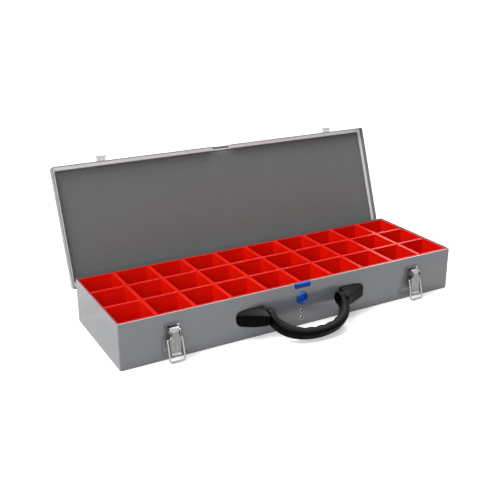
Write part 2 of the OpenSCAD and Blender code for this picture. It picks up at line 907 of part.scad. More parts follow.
latch_rivets();
latch_lever_left();
latch_lever_right();
latch_bail_left();
latch_bail_right();
keeper_left();
keeper_right();
keeper_rivets();
handle_cap_left();
handle_cap_right();
cap_screws();
handle_pins();
handle_grip();
release_button();
catch_nose();
catch_arm();
catch_foot();
catch_rivets();
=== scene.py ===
import math

import bmesh
import bpy
from mathutils import Matrix, Vector, noise


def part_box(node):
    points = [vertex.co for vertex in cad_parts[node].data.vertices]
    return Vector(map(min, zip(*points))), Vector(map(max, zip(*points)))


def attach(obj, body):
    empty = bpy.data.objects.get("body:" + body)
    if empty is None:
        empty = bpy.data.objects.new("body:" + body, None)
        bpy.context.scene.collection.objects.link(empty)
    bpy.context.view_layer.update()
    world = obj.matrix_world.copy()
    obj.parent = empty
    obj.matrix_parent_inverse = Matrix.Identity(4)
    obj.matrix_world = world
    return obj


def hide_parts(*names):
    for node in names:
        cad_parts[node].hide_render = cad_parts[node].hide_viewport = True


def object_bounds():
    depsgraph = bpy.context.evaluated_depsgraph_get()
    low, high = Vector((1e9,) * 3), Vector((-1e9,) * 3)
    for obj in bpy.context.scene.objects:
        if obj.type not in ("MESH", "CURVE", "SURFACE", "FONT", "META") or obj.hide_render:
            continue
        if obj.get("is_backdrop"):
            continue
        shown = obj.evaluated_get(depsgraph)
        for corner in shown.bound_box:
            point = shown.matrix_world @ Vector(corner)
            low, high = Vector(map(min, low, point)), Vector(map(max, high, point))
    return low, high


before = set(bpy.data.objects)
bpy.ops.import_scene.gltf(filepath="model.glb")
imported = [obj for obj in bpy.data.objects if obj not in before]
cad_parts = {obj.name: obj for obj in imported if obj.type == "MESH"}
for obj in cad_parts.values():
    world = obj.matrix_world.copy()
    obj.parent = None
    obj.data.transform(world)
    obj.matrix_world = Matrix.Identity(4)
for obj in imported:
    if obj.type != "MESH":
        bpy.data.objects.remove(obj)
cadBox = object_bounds()
mm = 0.001
white = (1.0, 1.0, 1.0, 1.0)

# The body's outer front face, which the catch, the handle and the latches stand on, and its rim
bodyLow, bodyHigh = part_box("body_shell")
frontWall = bodyLow[1] / mm
rimHeight = bodyHigh[2] / mm


def linked(name, data):
    obj = bpy.data.objects.new(name, data)
    bpy.context.scene.collection.objects.link(obj)
    return obj


# Camera, fitted to the corners of the case
cameraValues = {
    "place": (-0.53601, -0.89210, 0.48150),
    "right": (0.87209, -0.48932, 0.0),
    "up": (0.17488, 0.31168, 0.93396),
    "focal": 55.9,
    "sensor": 36.0,
    "farthest": 50.0,
}


def makeCamera():
    v = cameraValues
    data = bpy.data.cameras.new("viewCamera")
    data.sensor_width = v["sensor"]
    data.lens = v["focal"]
    data.clip_end = v["farthest"]
    camera = linked("viewCamera", data)
    right = Vector(v["right"]).normalized()
    up = Vector(v["up"]).normalized()
    turn = Matrix((right, up, right.cross(up).normalized())).transposed().to_4x4()
    camera.matrix_world = Matrix.Translation(v["place"]) @ turn
    bpy.context.scene.camera = camera


makeCamera()


# Node trees: what all trees share, and the surface of a material
class Tree:
    def __init__(self, tree):
        self.tree = tree
        self.nodes = tree.nodes
        self.links = tree.links

    def connect(self, value, socket):
        if isinstance(value, bpy.types.NodeSocket):
            self.links.new(value, socket)
        else:
            socket.default_value = value

    def add(self, kind, inputs=None, **settings):
        node = self.nodes.new(kind)
        for key, value in settings.items():
            setattr(node, key, value)
        for key, value in (inputs or {}).items():
            self.connect(value, node.inputs[key])
        return node

    def math(self, operation, a, b=0.0):
        return self.add("ShaderNodeMath", {0: a, 1: b}, operation=operation).outputs[0]

    def between(self, value, start, end, low=0.0, high=1.0):
        inputs = {"Value": value, "From Min": start, "From Max": end, "To Min": low, "To Max": high}
        return self.add("ShaderNodeMapRange", inputs).outputs[0]

    def axis(self, vector, letter):
        return self.add("ShaderNodeSeparateXYZ", {"Vector": vector}).outputs[letter]


class Surface(Tree):
    sockets = {"color": "Base Color", "metal": "Metallic", "rough": "Roughness", "normal": "Normal",
               "spec": "Specular IOR Level", "sheen": "Sheen Weight", "glow": "Emission Color",
               "glowStrength": "Emission Strength"}

    def __init__(self, name):
        self.material = bpy.data.materials.new(name)
        self.material.use_nodes = True
        super().__init__(self.material.node_tree)
        self.shader = self.nodes["Principled BSDF"]
        outputs = self.add("ShaderNodeTexCoord").outputs
        self.place, self.facing = outputs["Object"], outputs["Normal"]

    def noise(self, scale, detail=3.0, rough=0.5, vector=None):
        return self.add("ShaderNodeTexNoise", {
            "Vector": vector or self.place, "Scale": scale, "Detail": detail,
            "Roughness": rough}).outputs["Fac"]

    def stretched(self, factors):
        return self.add("ShaderNodeMapping", {"Vector": self.place, "Scale": factors}).outputs[0]

    def mix(self, factor, a, b):
        node = self.add("ShaderNodeMix", data_type="RGBA")
        for name, kind, value in (("Factor", "VALUE", factor), ("A", "RGBA", a), ("B", "RGBA", b)):
            self.connect(value, next(s for s in node.inputs if s.name == name and s.type == kind))
        return next(s for s in node.outputs if s.type == "RGBA")

    def bump(self, height, strength, distance, under=None):
        inputs = {"Height": height, "Strength": strength, "Distance": distance}
        if under:
            inputs["Normal"] = under
        return self.add("ShaderNodeBump", inputs).outputs[0]

    def finish(self, **values):
        for key, value in values.items():
            self.connect(value, self.shader.inputs[self.sockets[key]])
        return self.material


def linear(*levels):
    shares = [level / 255 for level in levels]
    return tuple(s / 12.92 if s <= 0.04045 else ((s + 0.055) / 1.055) ** 2.4 for s in shares) + (1.0,)


def grey(level):
    return (level, level, level, 1.0)


def shade(colour, factor):
    return tuple(min(1.0, c * factor) for c in colour[:3]) + (1.0,)


# Sprayed paint: clouds, flecks and orange peel, and a painted highlight in pale grey along the top edge of
# the front rim.
# The rim's values are millimetres below the rim, and millimetres in from the front face
paintValues = {
    "cloud": 7.0, "fleck": 1500.0, "peel": 420.0, "detail": 2.0, "clouds": (0.965, 1.035),
    "fleckFrom": (0.35, 0.7), "fleckShade": 0.95, "rough": (-0.03, 0.04),
    "peelBump": (0.05, 0.0004), "fleckBump": (0.05, 0.00015),
    "rim": (0.6, 0.1), "sheet": (1.0, 1.5), "rimHighlight": (0.55, 0.56, 0.56, 1),
}


def paintedSteel(name, colour, rough, spec, paintedRimLight=False):
    v = paintValues
    t = Surface(name)
    cloud = t.noise(v["cloud"], v["detail"])
    fleck = t.noise(v["fleck"], v["detail"])
    peel = t.noise(v["peel"], v["detail"])
    tone = t.mix(cloud, *(shade(colour, s) for s in v["clouds"]))
    tone = t.mix(t.between(fleck, *v["fleckFrom"]), shade(colour, v["fleckShade"]), tone)
    if paintedRimLight:
        # painted highlight: the front face turns pale grey along the top edge of the rim
        heights = [(rimHeight - below) * mm for below in v["rim"]]
        depths = [(frontWall + inward) * mm for inward in v["sheet"]]
        rim = t.between(t.axis(t.place, "Z"), *heights)
        front = t.between(t.axis(t.place, "Y"), *depths, 1.0, 0.0)
        tone = t.mix(t.math("MULTIPLY", rim, front), tone, v["rimHighlight"])
    grain = t.bump(fleck, *v["fleckBump"])
    return t.finish(color=tone, rough=t.between(cloud, 0, 1, *(rough + r for r in v["rough"])),
                    normal=t.bump(peel, *v["peelBump"], grain), spec=spec)


# Moulded plastic: even colour, fine grain, and a painted highlight that turns faces paler where they look up
plasticValues = {
    "cloud": 22.0, "clouds": (0.93, 1.05), "detail": 2.0, "rough": (-0.05, 0.06), "bump": 0.25,
    "topLightFrom": (0.35, 0.85),
}


def mouldedPlastic(name, colour, rough, spec, grain=2600.0, depth=0.00006, paintedTopLight=None):
    v = plasticValues
    t = Surface(name)
    fine = t.noise(grain, v["detail"])
    tone = t.mix(t.noise(v["cloud"]), *(shade(colour, s) for s in v["clouds"]))
    # painted top light: faces that look up are mixed towards the paler colour, so tops read lit and fronts
    # dark
    if paintedTopLight:
        tone = t.mix(t.between(t.axis(t.facing, "Z"), *v["topLightFrom"]), tone, paintedTopLight)
    return t.finish(color=tone, rough=t.between(fine, 0, 1, *(rough + r for r in v["rough"])),
                    normal=t.bump(fine, v["bump"], depth), spec=spec)


# Zinc plated steel: spangle, and streaks along the way that it was brushed
zincValues = {
    "streak": (1.0, 3.0, 0.6), "spangle": (4.0, 0.65), "spangleFrom": (0.36, 0.64),
    "streakFrom": (0.3, 0.75), "streakShade": 0.8, "rough": (-0.1, 0.12), "bump": (0.12, 0.0001),
}
allWays, acrossWire = (400.0, 400.0, 400.0), (60.0, 60.0, 900.0)
alongX, alongLever = (30.0, 2200.0, 30.0), (90.0, 1400.0, 90.0)


def brushedZinc(name, colour, rough, along=alongX, grain=240.0, speckle=(0.84, 1.05)):
    v = zincValues
    t = Surface(name)
    streak = t.noise(*v["streak"], t.stretched(along))
    spangle = t.between(t.noise(grain, *v["spangle"]), *v["spangleFrom"])
    tone = t.mix(spangle, *(shade(colour, s) for s in speckle))
    tone = t.mix(t.between(streak, *v["streakFrom"]), shade(colour, v["streakShade"]), tone)
    return t.finish(color=tone, metal=1.0, normal=t.bump(streak, *v["bump"]),
                    rough=t.between(spangle, 0, 1, *(rough + r for r in v["rough"])))


# Open-celled foam
foamFaceValues = {
    "cell": 620.0, "fine": (1900.0, 3.0, 0.7), "cloud": 9.0, "fineFrom": (0.3, 0.72),
    "fines": (0.62, 1.3), "cellFrom": (0.05, 0.45), "cellShade": 0.6, "cloudShade": 1.12,
    "cloudShare": 0.5, "pits": (0.45, 0.0006), "grain": (0.35, 0.0003),
    "rough": 0.95, "spec": 0.2, "sheen": 0.15,
}


def foamSheet(name, colour):
    v = foamFaceValues
    t = Surface(name)
    cell = t.add("ShaderNodeTexVoronoi", {"Vector": t.place, "Scale": v["cell"]}).outputs["Distance"]
    fine = t.noise(*v["fine"])
    tone = t.mix(t.between(fine, *v["fineFrom"]), *(shade(colour, s) for s in v["fines"]))
    tone = t.mix(t.between(cell, *v["cellFrom"]), shade(colour, v["cellShade"]), tone)
    clouded = t.mix(v["cloudShare"], tone, shade(colour, v["cloudShade"]))
    tone = t.mix(t.noise(v["cloud"]), tone, clouded)
    grain = t.bump(fine, *v["grain"], t.bump(cell, *v["pits"]))
    return t.finish(color=tone, rough=v["rough"], normal=grain, spec=v["spec"], sheen=v["sheen"])


looks = {
    "body": paintedSteel("bodyPaint", linear(104, 106, 109), rough=0.15, spec=0.57, paintedRimLight=True),
    "lid": paintedSteel("lidPaint", linear(108, 111, 113), rough=0.2, spec=0.5),
    # the ledge's paint is near white as painted light, standing in for the light that its recess keeps off
    "ledge": paintedSteel("ledgePaint", linear(236, 236, 233), rough=0.3, spec=0.5),
    "foam": foamSheet("foamFace", linear(101, 102, 102)),
    "red": mouldedPlastic("binPlastic", (0.66, 0.006, 0.0006, 1), rough=0.3, spec=0.24),
    "black": mouldedPlastic("gripPlastic", grey(0.0003), rough=0.3, spec=0.03,
                            grain=1500.0, depth=0.00012, paintedTopLight=grey(0.017)),
    "blue": mouldedPlastic("clipPlastic", (0.0004, 0.041, 0.24, 1), rough=0.24, spec=0.09,
                           paintedTopLight=(0.05, 0.17, 0.62, 1)),
    "button": mouldedPlastic("buttonPlastic", (0.0004, 0.044, 0.26, 1), rough=0.2, spec=0.14,
                             paintedTopLight=(0.06, 0.2, 0.72, 1)),
    "zinc": brushedZinc("latchZinc", linear(128, 127, 125), rough=0.4),
    "lever": brushedZinc("leverZinc", linear(130, 130, 128), rough=0.3,
                         along=alongLever, grain=640.0, speckle=(0.5, 1.5)),
    # paler zinc that paints the highlight on the levers' upward faces
    "paintedHighlight": brushedZinc("rubbedZinc", linear(182, 182, 181), rough=0.36, along=acrossWire),
    "plate": brushedZinc("plateZinc", linear(126, 128, 131), rough=0.5, along=allWays, grain=300.0),
    "bright": brushedZinc("wireSteel", linear(172, 172, 170), rough=0.22, along=acrossWire),
    "keeper": brushedZinc("keeperZinc", linear(212, 212, 210), rough=0.2, along=acrossWire),
    "dark": brushedZinc("innerSteel", linear(90, 90, 90), rough=0.45),
    "holeShade": brushedZinc("mandrelSteel", linear(34, 34, 35), rough=0.6),
}

# Look of each CAD piece. Those that have a finer piece below are hidden by it
cadLooks = {
    "body_shell": "body", "lid_shell": "lid", "lid_ledge_frame": "ledge", "lid_foam": "foam",
    "hinge_body_leaf": "zinc", "hinge_lid_leaf": "zinc", "hinge_pin": "bright",
    "hinge_body_rivets": "bright", "hinge_lid_rivets": "bright",
    "latch_plate_left": "plate", "latch_plate_right": "plate", "latch_pins": "bright",
    "latch_rivets": "bright", "latch_lever_left": "lever", "latch_lever_right": "lever",
    "latch_bail_left": "bright", "latch_bail_right": "bright",
    "keeper_left": "keeper", "keeper_right": "keeper", "keeper_rivets": "bright",
    "handle_cap_left": "black", "handle_cap_right": "black", "cap_screws": "dark",
    "handle_pins": "black", "handle_grip": "black", "release_button": "blue", "catch_nose": "blue",
    "catch_arm": "dark", "catch_foot": "dark", "catch_rivets": "bright",
}
# Width in millimetres of the small bevel on each CAD piece that shows
bevels = {
    "body_shell": 0.35, "lid_shell": 0.5, "lid_ledge_frame": 0.25, "latch_plate_left": 0.12,
    "latch_plate_right": 0.12, "keeper_left": 0.3, "keeper_right": 0.3, "catch_nose": 0.8,
    "hinge_body_leaf": 0.2, "hinge_lid_leaf": 0.2, "latch_rivets": 0.35, "keeper_rivets": 0.35,
    "hinge_body_rivets": 0.5, "hinge_lid_rivets": 0.5, "latch_pins": 0.25,
}
bevelFrom = 40  # degrees by which an edge has to turn


def setLook(obj, look):
    obj.data.materials.clear()
    obj.data.materials.append(looks[look])


def bevelled(obj, width, angle):
    edge = obj.modifiers.new("edge", "BEVEL")
    edge.width = width * mm
    edge.segments = 2
    edge.limit_method = "ANGLE"
    edge.angle_limit = math.radians(angle)
    return edge


for nodeName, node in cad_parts.items():
    setLook(node, "red" if nodeName.startswith("bin_") else cadLooks[nodeName])
    if nodeName in bevels:
        bevelled(node, bevels[nodeName], bevelFrom).harden_normals = True
print("stage: CAD pieces have their materials")


# Mesh helpers. Outlines are in millimetres and meshes in metres
def turns(steps):
    return [2 * math.pi * i / steps for i in range(steps)]


def newMesh(name):
    return bpy.data.meshes.new(name)


def facedOut(bm, mesh):
    bmesh.ops.recalc_face_normals(bm, faces=bm.faces)
    bm.to_mesh(mesh)
    bm.free()
    return mesh


def lofted(loops):
    bm = bmesh.new()
    rings = [[bm.verts.new(Vector(p) * mm) for p in loop] for loop in loops]
    for a, b in zip(rings, rings[1:]):
        for i in range(len(a)):
            j = (i + 1) % len(a)
            bm.faces.new((a[i], a[j], b[j], b[i]))
    bm.faces.new(reversed(rings[0]))
    bm.faces.new(rings[-1])
    return facedOut(bm, newMesh("loft"))


def joined(meshes, result):
    bm = bmesh.new()
    for mesh in meshes:
        bm.from_mesh(mesh)
    return facedOut(bm, result)


def lineOf(points):
    mesh = newMesh("line")
    edges = [(i, i + 1) for i in range(len(points) - 1)]
    mesh.from_pydata([Vector(p).to_3d() * mm for p in points], edges, [])
    return mesh


# What each point of a section's path carries, and the unit of each
lineMarks = {"insetX": mm, "insetY": mm, "corner": mm, "heading": 1.0}


def sectionPath(stations):
    # stations of (place, inset across, inset up, corner radius, heading)
    mesh = lineOf([station[0] for station in stations])
    for k, (name, unit) in enumerate(lineMarks.items(), 1):
        mark = mesh.attributes.new(name, "FLOAT", "POINT")
        mark.data.foreach_set("value", [station[k] * unit for station in stations])
    return mesh


# Shapers: geometry trees that turn a line of points into a mesh. Their inputs are in metres
class Shaper(Tree):
    def __init__(self, name, **sizes):
        super().__init__(bpy.data.node_groups.new(name, "GeometryNodeTree"))
        sockets = self.tree.interface
        sockets.new_socket("Geometry", in_out="OUTPUT", socket_type="NodeSocketGeometry")
        for key, kind in {"Geometry": "Geometry", **sizes, "look": "Material"}.items():
            sockets.new_socket(key, in_out="INPUT", socket_type="NodeSocket" + kind)
        self.given = self.add("NodeGroupInput").outputs

    def vector(self, operation, a, b=None, scale=1.0):
        inputs = {0: a, "Scale": scale} if b is None else {0: a, 1: b}
        return self.add("ShaderNodeVectorMath", inputs, operation=operation).outputs["Vector"]

    def combined(self, x, y, z):
        return self.add("ShaderNodeCombineXYZ", {"X": x, "Y": y, "Z": z}).outputs["Vector"]

    def mark(self, name):
        node = self.add("GeometryNodeInputNamedAttribute", {"Name": name}, data_type="FLOAT")
        return node.outputs["Attribute"]

    def captured(self, geometry, value):
        node = self.add("GeometryNodeCaptureAttribute")
        node.capture_items.new("VECTOR", "Value")
        self.connect(geometry, node.inputs["Geometry"])
        self.connect(value, node.inputs["Value"])
        return node.outputs["Geometry"], node.outputs["Value"]

    def lineAsCurve(self):
        return self.add("GeometryNodeMeshToCurve", {"Mesh": self.given["Geometry"]}).outputs["Curve"]

    def circle(self, points):
        return self.add("GeometryNodeCurvePrimitiveCircle", {"Resolution": points}).outputs["Curve"]

    def skin(self, path, section, place, caps):
        inputs = {"Curve": path, "Profile Curve": section, "Fill Caps": caps}
        placed = {"Geometry": self.add("GeometryNodeCurveToMesh", inputs).outputs["Mesh"], "Position": place}
        return self.add("GeometryNodeSetPosition", placed).outputs["Geometry"]

    def finish(self, geometry):
        real = self.add("GeometryNodeRealizeInstances", {"Geometry": geometry}).outputs["Geometry"]
        inputs = {"Geometry": real, "Material": self.given["look"]}
        dressed = self.add("GeometryNodeSetMaterial", inputs).outputs["Geometry"]
        self.add("NodeGroupOutput", {"Geometry": dressed})
        return self

    def run(self, line, **values):
        # sends a line through the tree, and gives back a plain mesh without the line's marks
        base = linked("base", line)
        modifier = base.modifiers.new("shaper", "NODES")
        modifier.node_group = self.tree
        for socket in self.tree.interface.items_tree:
            if socket.name in values:
                modifier[socket.identifier] = values[socket.name]
        mesh = bpy.data.meshes.new_from_object(base.evaluated_get(bpy.context.evaluated_depsgraph_get()))
        bpy.data.objects.remove(base)
        while mesh.materials[0] is None:  # an empty slot that realizing can leave
            mesh.materials.pop(index=0)
        for name in lineMarks:
            if name in mesh.attributes:
                mesh.attributes.remove(mesh.attributes[name])
        return joined([mesh], mesh)


def sweptForm():
    # rounded rectangles along a path in the XZ plane, each inset from the half size as its point says
    t = Shaper("sweptForm", half="Vector", cornerSteps="Int")
    steps = t.given["cornerSteps"]
    perQuarter = t.math("ADD", steps, 1.0)
    index = t.add("GeometryNodeInputIndex").outputs["Index"]
    # the quarter of the section that a point is in, and the share of that quarter's turn
    quarter = t.math("FLOOR", t.math("DIVIDE", index, perQuarter))
    share = t.math("DIVIDE", t.math("SUBTRACT", index, t.math("MULTIPLY", quarter, perQuarter)), steps)

    def towards(quarters, length):
        angle = t.math("MULTIPLY", quarters, math.pi / 2)
        x, y = (t.math("MULTIPLY", t.math(kind, angle), length) for kind in ("COSINE", "SINE"))
        return t.combined(x, y, 0.0)

    section = t.circle(t.math("MULTIPLY", perQuarter, 4.0))
    section, spoke = t.captured(section, towards(t.math("ADD", quarter, share), 1.0))
    section, quadrant = t.captured(section, towards(t.math("ADD", quarter, 0.5), math.sqrt(2)))
    path, centre = t.captured(t.lineAsCurve(), t.add("GeometryNodeInputPosition").outputs["Position"])

    # from the centre out to the corner's centre, round the corner, and turned to the path's heading
    radius = t.mark("corner")
    less = t.combined(*(t.math("ADD", t.mark(name), radius) for name in ("insetX", "insetY")), 0.0)
    straight = t.vector("MULTIPLY", t.vector("SUBTRACT", t.given["half"], less), quadrant)
    offset = t.vector("ADD", straight, t.vector("SCALE", spoke, scale=radius))
    x, heading = t.axis(offset, "X"), t.mark("heading")
    turnedX, turnedZ = (t.math("MULTIPLY", x, t.math(kind, heading)) for kind in ("SINE", "COSINE"))
    moved = t.combined(turnedX, t.axis(offset, "Y"), turnedZ)
    return t.finish(t.skin(path, section, t.vector("ADD", centre, moved), True))


poleGap = 0.001  # points of a pole that lie this close are one


def turnedRow():
    # a profile of (radius, out) turned about its axis, and a row of such forms out from the wall
    t = Shaper("turnedRow", steps="Int", count="Int", first="Vector", pitch="Vector", size="Vector")
    place = t.add("GeometryNodeInputPosition").outputs["Position"]
    circle, spoke = t.captured(t.circle(t.given["steps"]), place)
    profile, point = t.captured(t.lineAsCurve(), place)
    out = t.combined(0.0, 0.0, t.axis(point, "Y"))
    around = t.vector("SCALE", spoke, scale=t.axis(point, "X"))
    openForm = t.skin(circle, profile, t.vector("ADD", around, out), False)
    merged = {"Geometry": openForm, "Distance": poleGap * mm}
    form = t.add("GeometryNodeMergeByDistance", merged).outputs["Geometry"]
    line = {"Count": t.given["count"], "Start Location": t.given["first"], "Offset": t.given["pitch"]}
    row = {"Points": t.add("GeometryNodeMeshLine", line).outputs["Mesh"], "Instance": form,
           "Rotation": (math.pi / 2, 0.0, 0.0), "Scale": t.given["size"]}
    return t.finish(t.add("GeometryNodeInstanceOnPoints", row).outputs["Instances"])


sweptShape, turnedShape = sweptForm(), turnedRow()


def turned(profile, look, steps, heights, scale=1.0):
    # evenly spaced forms at these heights on the wall, with their radii scaled
    pitch = (heights[-1] - heights[0]) / max(1, len(heights) - 1)
    return turnedShape.run(lineOf(profile), steps=steps, count=len(heights), look=looks[look],
                           first=(0.0, frontWall * mm, heights[0] * mm), pitch=(0.0, 0.0, pitch * mm),
                           size=(scale, scale, 1.0))


def placePiece(name, mesh, body, replaced, smooth, look=None):
    # a mesh from a shaper has its look already
    mesh.name = name
    obj = linked(name, mesh)
    for poly in mesh.polygons:
        poly.use_smooth = True
    mesh.set_sharp_from_angle(angle=math.radians(smooth))
    if look:
        setLook(obj, look)
    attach(obj, body)
    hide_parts(*replaced)
    return obj


def secondLook(piece, look, chosen):
    piece.data.materials.append(looks[look])
    for face in piece.data.polygons:
        face.material_index = int(chosen(face))


# Bins: each loop is (inset at the sides, inset at front and back, corner radius, height above the floor),
# up the outside, over the rim and down the inside
binValues = {
    "rows": 3, "columns": 10, "cornerSteps": 5,
    "loops": [
        (2.6, 2.6, 1.0, 0.0), (1.8, 1.8, 1.2, 0.25), (1.5, 1.5, 1.4, 0.9), (1.1, 1.1, 1.6, 57.6),
        (0.8, 0.8, 1.7, 57.6), (0.15, 0.15, 1.7, 57.5), (0.0, 0.0, 1.7, 57.7), (0.0, 0.0, 1.7, 61.0),
        (0.08, 0.08, 1.6, 61.3), (0.25, 0.25, 1.5, 61.45), (0.45, 0.45, 1.4, 61.5), (1.85, 1.5, 0.9, 61.5),
        (2.1, 1.72, 0.8, 61.42), (2.22, 1.84, 0.8, 61.2), (2.26, 1.9, 0.8, 60.8), (2.6, 2.4, 0.8, 3.0),
        (2.75, 2.55, 0.9, 2.1), (3.1, 2.9, 1.0, 1.6), (3.7, 3.5, 1.2, 1.42), (7.0, 7.0, 1.4, 1.4),
    ],
}


def makeBin(row, col):
    node = f"bin_{row}_{col}"
    low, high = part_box(node)
    middle, half = (low + high) / 2 / mm, (high - low) / 2
    stations = [((middle.x, middle.y, low.z / mm + z), insetX, insetY, radius, math.pi / 2)
                for insetX, insetY, radius, z in binValues["loops"]]
    mesh = sweptShape.run(sectionPath(stations), half=(half.x, half.y, 0.0),
                          cornerSteps=binValues["cornerSteps"], look=looks["red"])
    placePiece(f"redBin{row}x{col}", mesh, node, [node], smooth=50)


for row in range(1, binValues["rows"] + 1):
    for col in range(1, binValues["columns"] + 1):
        makeBin(row, col)
print("stage: bins")

# The foam is drawn in the closed lid and turned back about the hinge's pin
openAngle = -110.0
pinLow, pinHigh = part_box("hinge_pin")
hingePoint = (pinLow + pinHigh) / 2
lidTurn = (Matrix.Translation(hingePoint) @ Matrix.Rotation(math.radians(openAngle), 4, "X")
           @ Matrix.Translation(-hingePoint))

foamValues = {
    "halfX": 259.9, "halfY": 77.9, "low": 64.13, "high": 67.0, "edge": 2.4, "edgeWidth": 1.9,
    "cells": (260, 80), "wave": 0.12, "waveScale": (0.02, 0.03), "waveLevel": 1.7,
}


def foamPoint(x, y):
    v = foamValues
    gap = min(v["halfX"] - abs(x), v["halfY"] - abs(y))
    drop = v["edge"] * max(0.0, 1 - gap / v["edgeWidth"]) ** 2
    wave = v["wave"] * noise.noise(Vector((x * v["waveScale"][0], y * v["waveScale"][1], v["waveLevel"])))
    return Vector((x, y, v["low"] + drop + wave)) * mm


def makeFoam():
    v = foamValues
    nx, ny = v["cells"]
    bm = bmesh.new()
    grid = [[bm.verts.new(foamPoint(v["halfX"] * (2 * i / nx - 1), v["halfY"] * (2 * j / ny - 1)))
             for i in range(nx + 1)] for j in range(ny + 1)]
    for j in range(ny):
        for i in range(nx):
            bm.faces.new((grid[j][i], grid[j + 1][i], grid[j + 1][i + 1], grid[j][i + 1]))
    rim = ([grid[0][i] for i in range(nx)] + [grid[j][nx] for j in range(ny)]
           + [grid[ny][nx - i] for i in range(nx)] + [grid[ny - j][0] for j in range(ny)])
    top = [bm.verts.new((p.co.x, p.co.y, v["high"] * mm)) for p in rim]
    for i in range(len(rim)):
        k = (i + 1) % len(rim)
        bm.faces.new((rim[i], rim[k], top[k], top[i]))
    bm.faces.new(top)
    bm.transform(lidTurn)
    mesh = facedOut(bm, newMesh("foam"))
    foam = placePiece("foamSheet", mesh, "lid", ["lid_foam"], smooth=60, look="foam")


makeFoam()
print("stage: foam")

# Handle bow: a rounded section swept along an elbow, the grip's arc and an elbow, and closed to one skin
# with the round eyes of its arms. Lengths are in millimetres from the line of its pins
bowValues = {
    "armX": 57.0, "armW": 9.0, "armDepth": 19.4, "pivotZ": 32.0, "pivotOut": 10.25, "tilt": 30.0,
    "gripR": 100.0, "gripHalf": 18.0, "gripW": 13.5, "gripDepth": 17.5, "apex": 42.2,
    "elbowX": 19.2, "elbowY": 0.65, "widen": 0.55, "corner": 5.6, "thinnest": 0.3,
    "hollows": 4, "hollow": 1.1, "elbowSteps": 30, "gripSteps": 72, "cornerSteps": 5,
    "eyeEdge": 1.6, "eyeSoft": 0.3, "eyeSteps": 48, "skin": 0.65, "softening": 4, "soft": 0.5,
}


def bowStations():
    # stations of (x, out, heading, width, depth of the finger hollow)
    v = bowValues
    elbowR = v["armX"] - v["elbowX"]
    elbow, grip = [], []
    for k in range(v["elbowSteps"] + 1):
        t = k / v["elbowSteps"]
        a = math.radians(90 - (90 - v["gripHalf"]) * t)
        rise = min(1.0, t / v["widen"])
        width = v["armW"] + (v["gripW"] - v["armW"]) * rise * rise * (3 - 2 * rise)
        x, y = -v["elbowX"] - elbowR * math.sin(a), v["elbowY"] + elbowR * math.cos(a)
        elbow.append((x, y, -a, width, 0.0))
    for k in range(1, v["gripSteps"]):
        t = k / v["gripSteps"]
        a = math.radians(v["gripHalf"] * (2 * t - 1))
        hollow = v["hollow"] * (1 - math.cos(2 * math.pi * v["hollows"] * t)) / 2
        x, y = v["gripR"] * math.sin(a), v["apex"] - v["gripR"] * (1 - math.cos(a))
        grip.append((x, y, a, v["gripW"], hollow))
    return elbow + grip + [(-x, y, -a, w, cut) for x, y, a, w, cut in reversed(elbow)]


def bowSweep():
    # the path lies in the XZ plane here, and is turned to the wall with the finished bow
    v = bowValues
    widest, deepest = v["gripW"] / 2, v["armDepth"] / 2
    stations = []
    for x, y, a, w, cut in bowStations():
        share = (w - v["armW"]) / (v["gripW"] - v["armW"])
        half = (w - cut) / 2
        place = (x + cut / 2 * math.sin(a), 0.0, y + cut / 2 * math.cos(a))
        shallower = (v["armDepth"] - v["gripDepth"]) / 2 * share
        stations.append((place, widest - half, shallower, min(v["corner"], half - v["thinnest"]), a))
    return sweptShape.run(sectionPath(stations), half=(widest * mm, deepest * mm, 0.0),
                          cornerSteps=v["cornerSteps"], look=looks["black"])


def eyeDisc(x0, x1, radius):
    # the round eye of an arm, about its pin, with softened edges
    v = bowValues
    edge, soft = v["eyeEdge"], v["eyeEdge"] * v["eyeSoft"]
    stations = [(x0, radius - edge), (x0 + soft, radius - soft), (x0 + edge, radius),
                (x1 - edge, radius), (x1 - soft, radius - soft), (x1, radius - edge)]
    return lofted([[(x, r * math.cos(a), r * math.sin(a)) for a in turns(v["eyeSteps"])]
                   for x, r in stations])


def skinned(meshes):
    v = bowValues
    raw = linked("rawSkin", joined(meshes, newMesh("rawSkin")))
    remesh = raw.modifiers.new("skin", "REMESH")
    remesh.mode = "VOXEL"
    remesh.voxel_size = v["skin"] * mm
    soft = raw.modifiers.new("soft", "SMOOTH")
    soft.factor = v["soft"]
    soft.iterations = v["softening"]
    mesh = bpy.data.meshes.new_from_object(raw.evaluated_get(bpy.context.evaluated_depsgraph_get()))
    bpy.data.objects.remove(raw)
    return mesh


def makeGrip():
    v = bowValues
    sweep = bowSweep()
    sweep.transform(Matrix.Rotation(math.pi / 2, 4, "X"))
    meshes = [sweep]
    for side in (-1, 1):
        a, b = sorted((side * (v["armX"] - v["armW"] / 2), side * (v["armX"] + v["armW"] / 2)))
        meshes.append(eyeDisc(a, b, v["armDepth"] / 2))
    mesh = skinned(meshes)
    mesh.transform(Matrix.Translation((0, (frontWall - v["pivotOut"]) * mm, v["pivotZ"] * mm))
                   @ Matrix.Rotation(math.radians(v["tilt"]), 4, "X"))
    placePiece("gripBow", mesh, "handle", ["handle_grip"], smooth=180, look="black")


makeGrip()
print("stage: handle")

# Handle end blocks: sections across the block, from its inner face to its blunt outer end.
# Each row is |x|, height of the top at the wall, height of the bottom, ridge out, ridge height, foot out
capValues = {
    "rows": [
        (62.0, 44.0, 20.8, 21.6, 36.4, 18.2), (66.0, 44.5, 20.1, 20.0, 36.7, 17.0),
        (72.0, 44.6, 19.6, 17.2, 37.3, 15.0), (81.0, 44.5, 19.6, 13.0, 38.1, 11.8),
        (90.0, 43.9, 20.6, 9.0, 38.9, 8.4), (97.0, 42.5, 22.2, 6.2, 39.2, 6.0),
        (102.5, 40.9, 24.0, 4.4, 38.6, 4.2),
    ],
    "crown": 0.35, "stations": 44, "arc": 6, "longest": 0.45, "inner": 1.2, "innerShrink": 0.09,
    "outer": 3.6, "outerShrink": 0.9,
    "radii": {"wallLow": 0.2, "foot": 4.5, "ridge": 2.2, "crown": 9.0, "wallTop": 0.8},
}


